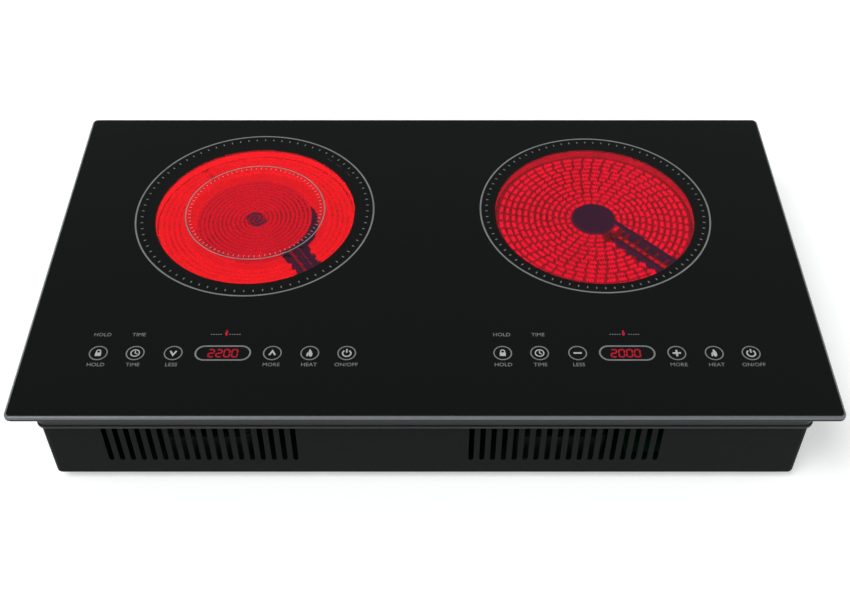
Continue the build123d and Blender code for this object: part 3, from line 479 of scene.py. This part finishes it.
def glass_slab():
    """The glass panel, its edge ground round: its ground grey above brightened as a painted highlight,
    painted shade where it is upright, black below as painted shade.
    """
    low, high = glass_low.z + backing_t, print_low
    width, depth = glass_high.x - glass_low.x, glass_high.y - glass_low.y
    turn = [radians(90 * i / glass_edge_steps) for i in range(glass_edge_steps + 1)]
    levels = [(glass_edge_r * (1 - sin(a)), low + glass_edge_r * (1 - cos(a))) for a in turn]
    levels += [(glass_edge_r * (1 - cos(a)), high - glass_edge_r * (1 - sin(a))) for a in turn]
    bm = bmesh.new()
    rows = []
    for inset, z in levels:
        loop = rounded_loop(width - 2 * inset, depth - 2 * inset, glass_corner_r - inset)
        rows.append([bm.verts.new((x, y, z)) for x, y in loop])
    for level, (below, above) in enumerate(zip(rows, rows[1:])):
        for i in range(len(below)):
            j = (i + 1) % len(below)
            face = bm.faces.new((below[i], below[j], above[j], above[i]))
            # Upper rounding: painted highlight; upright band and lower rounding: painted shade
            face.material_index = 1 if level > glass_edge_steps else 2 if level == glass_edge_steps else 3
            face.smooth = True
    bm.faces.new(list(reversed(rows[0])))
    bm.faces.new(rows[-1])
    finishes = [glass, ground_edge_painted_highlight, painted_shade_edge, print_black_and_painted_shade]
    return piece("glass_slab", finished_mesh("glass_slab", bm), finishes, ["glass_panel"])


def glass_backing():
    """The black layer printed under the glass, open over heaters, displays and indicators."""
    curve = bpy.data.curves.new("glass_backing", "CURVE")
    curve.dimensions, curve.fill_mode = "2D", "BOTH"
    width = glass_high.x - glass_low.x - 2 * glass_edge_r
    depth = glass_high.y - glass_low.y - 2 * glass_edge_r
    loops = [rounded_loop(width, depth, glass_corner_r - glass_edge_r)]
    loops += [arc(at.x, at.y, window_r, 0, 360, window_step)[:-1] for at in burner_at.values()]
    for at in display_at.values():
        window = rounded_loop(pill_w - display_window_inset, digit_h + display_window_rise, digit_h / 2)
        loops.append([(at.x + x, at.y + lit_shift + y) for x, y in window])
        loops.append(arc(at.x, indicator_y + lit_shift, indicator_window_r, 0, 360)[:-1])
    for loop in loops:
        line = curve.splines.new("POLY")
        line.points.add(len(loop) - 1)
        for point, (x, y) in zip(line.points, loop):
            point.co = (x, y, 0, 1)
        line.use_cyclic_u = True
    bm = bmesh.new()
    add_curve(bm, curve)
    return printed("glass_backing", bm, glass_low.z, glass_low.z + backing_t, "black_glass", print_black_and_painted_shade)


def cooking_zones():
    """Rings round the burners, each with its circle of ticks."""
    bm = bmesh.new()
    for side, marks in zone_marks.items():
        at = burner_at[side]
        ring(bm, at.x, at.y, marks["ring_r"], ring_line)
        if "inner_ring_r" in marks:
            ring(bm, at.x, at.y, marks["inner_ring_r"], inner_ring_line)
        for i in range(tick_count):
            a = 2 * pi * i / tick_count
            for radius in (marks["tick_r"], marks.get("inner_tick_r")):
                if radius:
                    ends = [radius - tick_len / 2, radius + tick_len / 2]
                    stroke(bm, [(at.x + r * cos(a), at.y + r * sin(a)) for r in ends], tick_w)
    return printed("cooking_zones", bm, print_low, print_top, "black_glass", zone_print)


def flame_outline(cx, cy, height, width, lean=0.0):
    """A plain flame: round below, drawn out to a tip that may lean."""
    rise = [i / flame_steps for i in range(flame_steps + 1)]
    half = [flame_swell * up ** 0.5 * (1 - up) ** flame_tip * width / 2 for up in rise]
    right = [(cx + h + lean * up * up, cy + height * (up - 0.5)) for up, h in zip(rise, half)]
    left = [(cx - h + lean * up * up, cy + height * (up - 0.5)) for up, h in zip(rise, half)]
    return right + left[-2:0:-1]


def icon(bm, kind, cx, cy):
    """A plain sign in a touch key, drawn from its middle."""
    def at(*points):
        return [(cx + x, cy + y) for x, y in points]

    if kind == "lock":
        flat_face(bm, at((-2.6, -3.4), (2.6, -3.4), (2.6, 0.6), (-2.6, 0.6)))
        shackle = arc(cx, cy + 1.9, 1.7, 180, -180)
        stroke(bm, at((-1.7, 0.6)) + shackle + at((1.7, 0.6)), thin_line)
    elif kind == "clock":
        ring(bm, cx, cy, 3.7, thin_line)
        stroke(bm, at((0, 2.6), (0, 0), (1.9, -1.2)), hand_line)
    elif kind in ("down", "up"):
        tip = -2.4 if kind == "down" else 2.4
        stroke(bm, at((-2.6, -tip), (0, tip), (2.6, -tip)), chevron_line)
    elif kind in ("minus", "plus"):
        stroke(bm, at((-3.6, 0), (3.6, 0)), sign_line)
        if kind == "plus":
            for way in (-1, 1):
                stroke(bm, at((0, way * sign_line / 2), (0, way * 3.6)), sign_line)
    elif kind == "flame":
        flat_face(bm, flame_outline(cx + 0.7, cy + 0.2, 8.8, 4.2, -1.0))
        flat_face(bm, flame_outline(cx - 2.1, cy - 1.3, 5.4, 1.9, 0.5))
    else:
        stroke(bm, arc(cx, cy - 0.3, 3.6, 125, 290), icon_line)
        stroke(bm, at((0, 0.4), (0, 4.6)), icon_line)


def control_marks(side):
    """The touch keys' rings and signs, and the line round the display."""
    bm = bmesh.new()
    at = display_at[side]
    for offset in key_offsets:
        ring(bm, at.x + offset, at.y, key_ring_r, key_line)
    pill = rounded_loop(pill_w, pill_h, pill_h / 2)
    stroke(bm, [(at.x + x, at.y + y) for x, y in pill], pill_line, closed=True)
    rings = set(bm.faces)
    for offset, kind in zip(key_offsets, key_icons[side]):
        icon(bm, kind, at.x + offset, at.y)
    for face in bm.faces:
        face.material_index = 0 if face in rings else 1
    return printed(f"control_{side}_marks", bm, print_low, print_top, "black_glass", zone_print, icon_print)


def control_words(side):
    """Plain words at the keys, and a row of short bars beside the heat sign."""
    bm = bmesh.new()
    at = display_at[side]
    for offset, text in zip(key_offsets, key_words):
        word(bm, text, at.x + offset, at.y - word_drop, word_size)
    for offset, text in zip(key_offsets[:upper_words], key_words):
        word(bm, text, at.x + offset, at.y + upper_word_rise, word_size)
    bar_y = indicator_y - bar_drop
    for way in (-1, 1):
        for i in range(bar_count):
            x = at.x + way * (bar_start + bar_pitch * i)
            stroke(bm, [(x, bar_y), (x + way * bar_len, bar_y)], bar_line)
    return printed(f"control_{side}_words", bm, print_low, print_top, "black_glass", zone_print)


# Seven-segment digits: which of the segments a to g are lit
segments_of = {"0": "abcdef", "2": "abged"}


def segment_ends(name):
    """The two ends of a segment, from the digit's middle."""
    half_w, half_h = digit_w / 2, digit_h / 2
    gap = segment_gap + digit_line / 2
    across = {"a": half_h, "g": 0.0, "d": -half_h}
    if name in across:
        return (-half_w + gap, across[name]), (half_w - gap, across[name])
    x = half_w if name in "bc" else -half_w
    low, high = (0.0, half_h) if name in "bf" else (-half_h, 0.0)
    return (x, low + gap), (x, high - gap)


def display_digits(side):
    """The lit number and the lit heat sign, under the glass."""
    bm = bmesh.new()
    at = display_at[side]
    first = -(len(digits[side]) - 1) / 2
    h = digit_line / 2
    for i, digit in enumerate(digits[side]):
        cx = at.x + (first + i) * digit_pitch - digit_shift
        for name in segments_of[digit]:
            (ax, ay), (bx, by) = segment_ends(name)
            ux, uy = (1, 0) if ay == by else (0, 1)
            hexagon = [
                (ax - h * ux, ay - h * uy), (ax + h * uy, ay - h * ux), (bx + h * uy, by - h * ux),
                (bx + h * ux, by + h * uy), (bx - h * uy, by + h * ux), (ax - h * uy, ay + h * ux),
            ]
            flat_face(bm, [(cx + x + digit_slant * y, at.y + lit_shift + y) for x, y in hexagon])
    flat_face(bm, flame_outline(at.x, indicator_y + lit_shift, indicator_h, indicator_w))
    low, high = glass_low.z, glass_low.z + digit_t
    return printed(f"control_{side}_digits", bm, low, high, "indicator_red", digit_red)


# Coil routes in the heater's own plan
def polar(radius, angle):
    """The point at a radius and an angle in degrees."""
    return radius * cos(radians(angle)), radius * sin(radians(angle))


def gap_edge(offset, radius, turn_r):
    """The angle at which a ring ends, so that its turn stops at this distance from the gap's axis."""
    clear = degrees(turn_r / radius)
    return degrees(asin(offset / radius)) + (clear if offset > 0 else -clear)


def track(rings):
    """Ring after ring, each joined to the next by a half circle."""
    points = []
    for i, (radius, start, end) in enumerate(rings):
        points += arc(0, 0, radius, start, end - start)
        if i + 1 < len(rings):
            after = rings[i + 1][0]
            way = 1 if end > start else -1
            outward = radius < after
            middle = polar((radius + after) / 2, end)
            begin = end + 180 if outward else end
            points += arc(*middle, abs(after - radius) / 2, begin, 180 * (-way if outward else way))[1:]
    return points


def end_lead(radius, angle, way):
    """From a ring's end out through the rim: a quarter turn and a straight run."""
    corner = arc(*polar(radius + lead_turn_r, angle), lead_turn_r, angle + 180, 90 * way)
    (sx, sy), (rx, ry) = corner[-1], polar(lead_end - radius - lead_turn_r, angle)
    return corner + [(sx + rx * i / lead_steps, sy + ry * i / lead_steps) for i in range(1, lead_steps + 1)]


def line_points(start, end):
    """Points along a straight run, without its start."""
    count = ceil(hypot(end[0] - start[0], end[1] - start[1]) / route_step)
    return [
        (start[0] + (end[0] - start[0]) * i / count, start[1] + (end[1] - start[1]) * i / count)
        for i in range(1, count + 1)
    ]


def left_inner_route():
    """Two spiral arms of half circles that meet in an S, each with its cold lead."""
    arms = []
    for arm, turns in ((-1, inner_half_turns), (1, inner_half_turns - 1)):
        points = []
        for i in range(turns):
            way = arm if i % 2 == 0 else -arm
            points += arc(way * inner_pitch / 2, 0, (i + 0.5) * inner_pitch, 90 * (1 + way), 180)[1:]
        arms.append(points)
    first, second = arms
    (ax, _), (bx, _) = first[-1], second[-1]
    first_lead = arc(ax + inner_lead_r, 0, inner_lead_r, 180, -90)[1:]
    first_lead += line_points(first_lead[-1], (lead_end, inner_lead_r))
    second_lead = line_points((bx, 0), (bx, inner_lead_gap))
    second_lead += arc(bx + inner_lead_r, inner_lead_gap, inner_lead_r, 180, -90)[1:]
    second_lead += line_points(second_lead[-1], (lead_end, inner_lead_gap + inner_lead_r))
    hot = second[::-1] + [(0, 0)] + first
    return second_lead[::-1], hot, first_lead


def left_outer_route():
    """Rings in two halves that turn back at the gap and at the far side."""
    low, high = outer_gap
    last = outer_radii[-1]
    far = 180 + degrees(asin((low + high) / 2 / last))
    count = len(outer_radii)
    turn_r = (outer_radii[1] - outer_radii[0]) / 2

    def turn(i, where):
        mid = outer_radii[i] + turn_r
        if where == "high":
            return gap_edge(high, mid, turn_r)
        if where == "low":
            return 360 + gap_edge(low, mid, turn_r)
        return far + (1 if where == "far_high" else -1) * degrees((far_gap + turn_r) / mid)

    first_end, last_end = gap_edge(high, last, lead_turn_r), gap_edge(low, last, lead_turn_r)
    rings = []
    for i in range(count - 1, 0, -1):
        near = first_end if i == count - 1 else turn(i, "high")
        back = (count - 1 - i) % 2
        rings.append(
            (outer_radii[i], turn(i, "far_low"), turn(i - 1, "high")) if back
            else (outer_radii[i], near, turn(i - 1, "far_low"))
        )
    rings.append((outer_radii[0], turn(0, "high"), turn(0, "low")))
    for i in range(1, count):
        near = 360 + last_end if i == count - 1 else turn(i, "low")
        rings.append(
            (outer_radii[i], turn(i - 1, "low"), turn(i, "far_high")) if i % 2
            else (outer_radii[i], turn(i - 1, "far_high"), near)
        )
    return end_lead(last, first_end, 1)[::-1], track(rings), end_lead(last, last_end, -1)


def right_route():
    """Rings that turn back at both sides of the gap, the inner end led out along it."""
    turn_r = (right_radii[1] - right_radii[0]) / 2
    last = right_radii[-1]
    last_end = gap_edge(right_half_gap, last, lead_turn_r)
    rings, start = [], 0.0
    for i, radius in enumerate(right_radii):
        if i == len(right_radii) - 1:
            stop = last_end
        else:
            edge = right_half_gap if i % 2 else -right_half_gap
            stop = gap_edge(edge, radius + turn_r, turn_r) + (0 if i % 2 else 360)
        rings.append((radius, start, stop))
        start = stop
    first_lead = arc(right_radii[0] + right_lead_r, 0, right_lead_r, 180, 90)[1:]
    first_lead += line_points(first_lead[-1], (lead_end, -right_lead_r))
    return first_lead[::-1], track(rings), end_lead(last, last_end, 1)


def length(points):
    """The length of a line through points."""
    return sum(hypot(b[0] - a[0], b[1] - a[1]) for a, b in zip(points, points[1:]))


def along(points, step):
    """The points of a line at an even step."""
    made, left = [points[0]], step
    for (ax, ay), (bx, by) in zip(points, points[1:]):
        run = hypot(bx - ax, by - ay)
        at = left
        while at < run:
            made.append((ax + (bx - ax) * at / run, ay + (by - ay) * at / run))
            at += step
        left = at - run
    return made


def normals_along(points):
    """The unit normal of a line at each of its points."""
    made = []
    for i in range(len(points)):
        (ax, ay), (bx, by) = points[max(i - 1, 0)], points[min(i + 1, len(points) - 1)]
        run = hypot(bx - ax, by - ay)
        made.append((-(by - ay) / run, (bx - ax) / run))
    return made


def dash_heat(u, v):
    """The right coil in dashes: cooler where a clip holds it, at even steps round each ring."""
    radius = hypot(u, v)
    index = round((radius - right_radii[0]) / (right_radii[1] - right_radii[0]))
    count = dash_counts[min(max(index, 0), len(right_radii) - 1) // dash_rings]
    phase = degrees(atan2(v, u)) / 360 * count + dash_drift * index
    return COOLER if phase % 1 < dash_gap else HOT


def swirl_heat(u, v):
    """The middle of the left inner coil stays dim."""
    return COOLER if hypot(u, v) < swirl_r else HOT


def world_point(side, u, v, z):
    """A point of a heater's plan, at its place in the hob."""
    at, turn = burner_at[side], radians(gap_angle_of[side])
    return at.x + u * cos(turn) - v * sin(turn), at.y + u * sin(turn) + v * cos(turn), z


def swept(bm, rows, kind_at, end_kind):
    """Rows of four corners joined into one closed bar, each step with its own material."""
    for i, (a, b) in enumerate(zip(rows, rows[1:])):
        for j in range(4):
            k = (j + 1) % 4
            bm.faces.new((a[j], a[k], b[k], b[j])).material_index = kind_at(i)
    for end in (rows[0], rows[-1]):
        bm.faces.new(end).material_index = end_kind


def coil(name, node, side, route, heat, wave, wave_len, cooler=None):
    """A corrugated ribbon on its edge along the route, hot between its two cold leads."""
    cold_in, hot, cold_out = route
    step = wave_len / wave_points
    points = along(cold_in + hot + cold_out, step)
    start = length(cold_in)
    end = start + length(hot)
    line = []
    for i, ((u, v), (nu, nv)) in enumerate(zip(points, normals_along(points))):
        fade = min(max(min(i * step - start, end - i * step) / lead_fade, 0), 1)
        calm = min(max(hypot(u, v) / calm_r, calm_least), 1)
        swing = wave * fade * calm * sin(2 * pi * i / wave_points)
        line.append((u + nu * swing, v + nv * swing))
    bm = bmesh.new()
    rows = []
    for (u, v), (nu, nv) in zip(line, normals_along(line)):
        near, far = [(u + way * nu * ribbon_t / 2, v + way * nv * ribbon_t / 2) for way in (-1, 1)]
        corners = [(*near, ribbon_low), (*far, ribbon_low), (*far, ribbon_high), (*near, ribbon_high)]
        rows.append([bm.verts.new(world_point(side, *corner)) for corner in corners])

    def kind_at(i):
        if not start <= (i + 0.5) * step <= end:
            return COLD
        return cooler(*points[i]) if cooler else HOT

    swept(bm, rows, kind_at, COLD)
    return piece(name, finished_mesh(name, bm), heat, [node])


# Painted glow on the beds: a thin skin on the insulation, in small patches
def left_painted_glow(u, v):
    """Painted glow on the left bed: dim, over painted shade, in the gap and in a crescent beside it, with two
    red lines along the leads.
    """
    radius, angle = hypot(u, v), degrees(atan2(v, u)) % 360
    if u > crescent_r and outer_gap[0] - glow_margin < v < outer_gap[1] + glow_margin:
        lit = any(abs(v - middle) < half for middle, half in left_lights)
        return "mid" if lit else "dim"
    edge = crescent_r + 2 * inner_pitch * angle / 360
    if radius < edge:
        return "mid"
    if angle < crescent_sweep and radius - edge < crescent_w * (1 - angle / crescent_sweep) ** crescent_taper:
        return "dim"
    return "even" if radius < outer_radii[0] - glow_margin else "hot"


def right_painted_glow(u, v):
    """Painted glow on the right bed: low between the rings, and dim over painted shade in the gap, with a
    dashed red line along its middle.
    """
    if u > right_radii[0] + right_lead_r and abs(v) < right_half_gap - glow_margin:
        if abs(v) < right_light_half and u % right_light_step > right_light_gap:
            return "hot"
        return "low" if abs(v) < right_halo_half or u % right_cross_step < right_cross_w else "dim"
    return "low"


def painted_glow_skin(name, side, glow):
    """A thin disc on the bed with painted glow, patch by patch, and a thin band of painted glow round the
    foot of the rim.
    """
    bm = bmesh.new()
    kinds = list(bed_painted_glow)

    def circle(radius, z):
        turns = [2 * pi * j / bed_parts for j in range(bed_parts)]
        return [bm.verts.new(world_point(side, radius * cos(a), radius * sin(a), z)) for a in turns]

    circles = [circle(bed_r * (i + 1) / bed_rings, skin_high) for i in range(bed_rings)]
    under = circle(bed_r, skin_low)
    centre = bm.verts.new(world_point(side, 0, 0, skin_high))
    for j in range(bed_parts):
        k = (j + 1) % bed_parts
        middle = 2 * pi * (j + 0.5) / bed_parts
        bm.faces.new((circles[-1][k], circles[-1][j], under[j], under[k]))
        for i, outer in enumerate(circles):
            inner = [circles[i - 1][k], circles[i - 1][j]] if i else [centre]
            radius = bed_r * (i + 0.5) / bed_rings
            kind = glow(radius * cos(middle), radius * sin(middle))
            bm.faces.new([outer[j], outer[k]] + inner).material_index = kinds.index(kind)
    bm.faces.new(under[::-1])

    gap_at, gap_half = rim_gap[side]
    start, end = asin((gap_at + gap_half) / rim_r), 2 * pi + asin((gap_at - gap_half) / rim_r)
    low, high = skin_low, bed_z + rim_painted_glow_h
    section = [(rim_r - rim_t, low), (rim_r, low), (rim_r, high), (rim_r - rim_t, high)]
    rows = []
    for j in range(bed_parts + 1):
        a = start + (end - start) * j / bed_parts
        rows.append([bm.verts.new(world_point(side, r * cos(a), r * sin(a), z)) for r, z in section])
    rim_kind = kinds.index(rim_painted_glow[side])
    swept(bm, rows, lambda i: rim_kind, rim_kind)
    return piece(name, finished_mesh(name, bm), list(bed_painted_glow.values()))


def lead_beads(name, side):
    """Ceramic beads threaded on the cold leads."""
    bm = bmesh.new()
    z = bed_z + bead_lift + bead_r[side]
    turn = [2 * pi * k / bead_sides for k in range(bead_sides)]
    for v, start, end in bead_rows[side]:
        count = round((end - start) / bead_len)
        for i in range(count):
            loops = []
            for share, fat in bead_profile:
                u = start + (end - start) * (i + share) / count
                r = bead_r[side] * fat
                spots = [world_point(side, u, v + r * cos(t), z + r * sin(t)) for t in turn]
                loops.append([bm.verts.new(spot) for spot in spots])
            for below, above in zip(loops, loops[1:]):
                for k in range(bead_sides):
                    m = (k + 1) % bead_sides
                    bm.faces.new((below[k], below[m], above[m], above[k])).smooth = True
            bm.faces.new(loops[0])
            bm.faces.new(loops[-1])
    return piece(name, finished_mesh(name, bm), [ceramic_painted_glow])


glass_slab()
glass_backing()
cooking_zones()
for side in ("left", "right"):
    control_marks(side)
    control_words(side)
    display_digits(side)
coil("coil_left_inner", "heater_left_inner_coil", "left", left_inner_route(), left_inner_heat,
     wave=1.0, wave_len=2.6, cooler=swirl_heat)
coil("coil_left_outer", "heater_left_outer_coil", "left", left_outer_route(), left_outer_heat,
     wave=1.4, wave_len=2.6)
coil("coil_right", "heater_right_coil", "right", right_route(), right_heat,
     wave=1.6, wave_len=2.4, cooler=dash_heat)
painted_glow_skin("bed_left", "left", left_painted_glow)
painted_glow_skin("bed_right", "right", right_painted_glow)
lead_beads("beads_left", "left")
lead_beads("beads_right", "right")


# Floor, lamp, world and camera
def floor_material(name, lift_level):
    """Matt white; where the camera or a reflection sees it, lifted towards pure white."""
    made = bpy.data.materials.new(name)
    made.use_nodes = True
    nodes, links = made.node_tree.nodes, made.node_tree.links
    nodes.remove(nodes["Principled BSDF"])
    matt = nodes.new("ShaderNodeBsdfDiffuse")
    matt.inputs["Color"].default_value = floor_white
    lift = nodes.new("ShaderNodeEmission")
    path = nodes.new("ShaderNodeLightPath")
    seen = [nodes.new("ShaderNodeMath") for _ in range(3)]
    both = nodes.new("ShaderNodeAddShader")
    links.new(path.outputs["Is Camera Ray"], seen[0].inputs[0])
    links.new(path.outputs["Is Glossy Ray"], seen[0].inputs[1])
    links.new(seen[0].outputs[0], seen[1].inputs[0])
    links.new(path.outputs["Is Transmission Ray"], seen[1].inputs[1])
    seen[2].operation, seen[2].inputs[1].default_value = "MULTIPLY", lift_level
    links.new(seen[1].outputs[0], seen[2].inputs[0])
    links.new(seen[2].outputs[0], lift.inputs["Strength"])
    links.new(matt.outputs[0], both.inputs[0])
    links.new(lift.outputs[0], both.inputs[1])
    links.new(both.outputs[0], nodes["Material Output"].inputs["Surface"])
    return made


def floor_plane():
    """A wide floor, with its own patch, which isn't lifted, in the dark under the base."""
    base_low, base_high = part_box("base_plate")
    half = floor_size / 2
    low_x, low_y = base_low.x + floor_patch_inset, base_low.y + floor_patch_inset
    high_x, high_y = base_high.x - floor_patch_inset, base_high.y - floor_patch_inset
    corners = [(-half, -half, 0), (half, -half, 0), (half, half, 0), (-half, half, 0)]
    corners += [(low_x, low_y, 0), (high_x, low_y, 0), (high_x, high_y, 0), (low_x, high_y, 0)]
    around = [(i, (i + 1) % 4, (i + 1) % 4 + 4, i + 4) for i in range(4)]
    mesh = bpy.data.meshes.new("floor")
    mesh.from_pydata(corners, [], around + [(4, 5, 6, 7)])
    mesh.materials.append(floor_material("floor", floor_lift))
    mesh.materials.append(floor_material("floor_under_base", 0.0))
    mesh.polygons[4].material_index = 1
    obj = placed("floor", mesh)


def look_along(obj, aim):
    """Turns a lamp or a camera to look in a direction."""
    obj.rotation_mode = "QUATERNION"
    obj.rotation_quaternion = Vector(aim).to_track_quat("-Z", "Y")


def soft_sun():
    """One broad lamp, from the front left."""
    lamp = bpy.data.lights.new("soft_sun", "SUN")
    lamp.energy, lamp.angle = sun_strength, radians(sun_spread)
    look_along(placed("soft_sun", lamp), sun_toward)


def studio_world():
    """Pale near the horizon, dim overhead, so that the dark glass stays dark from above."""
    world = bpy.data.worlds.new("studio")
    bpy.context.scene.world = world
    world.use_nodes = True
    nodes, links = world.node_tree.nodes, world.node_tree.links
    place = nodes.new("ShaderNodeTexCoord")
    split = nodes.new("ShaderNodeSeparateXYZ")
    ramp = nodes.new("ShaderNodeValToRGB")
    for element, (height, color) in zip(ramp.color_ramp.elements, (horizon, overhead)):
        element.position, element.color = height, color
    links.new(place.outputs["Generated"], split.inputs[0])
    links.new(split.outputs["Z"], ramp.inputs["Fac"])
    links.new(ramp.outputs["Color"], nodes["Background"].inputs["Color"])


def photo_camera():
    """The photo's view, from in front and above."""
    data = bpy.data.cameras.new("camera")
    data.lens = camera_lens
    data.sensor_width = camera_sensor
    data.clip_start, data.clip_end = 0.05, 50
    obj = placed("camera", data)
    bpy.context.scene.camera = obj
    obj.location = camera_place
    pitch = radians(camera_pitch)
    look_along(obj, (0, cos(pitch), -sin(pitch)))


floor_plane()
soft_sun()
studio_world()
photo_camera()
bpy.context.scene.view_settings.view_transform = "Standard"
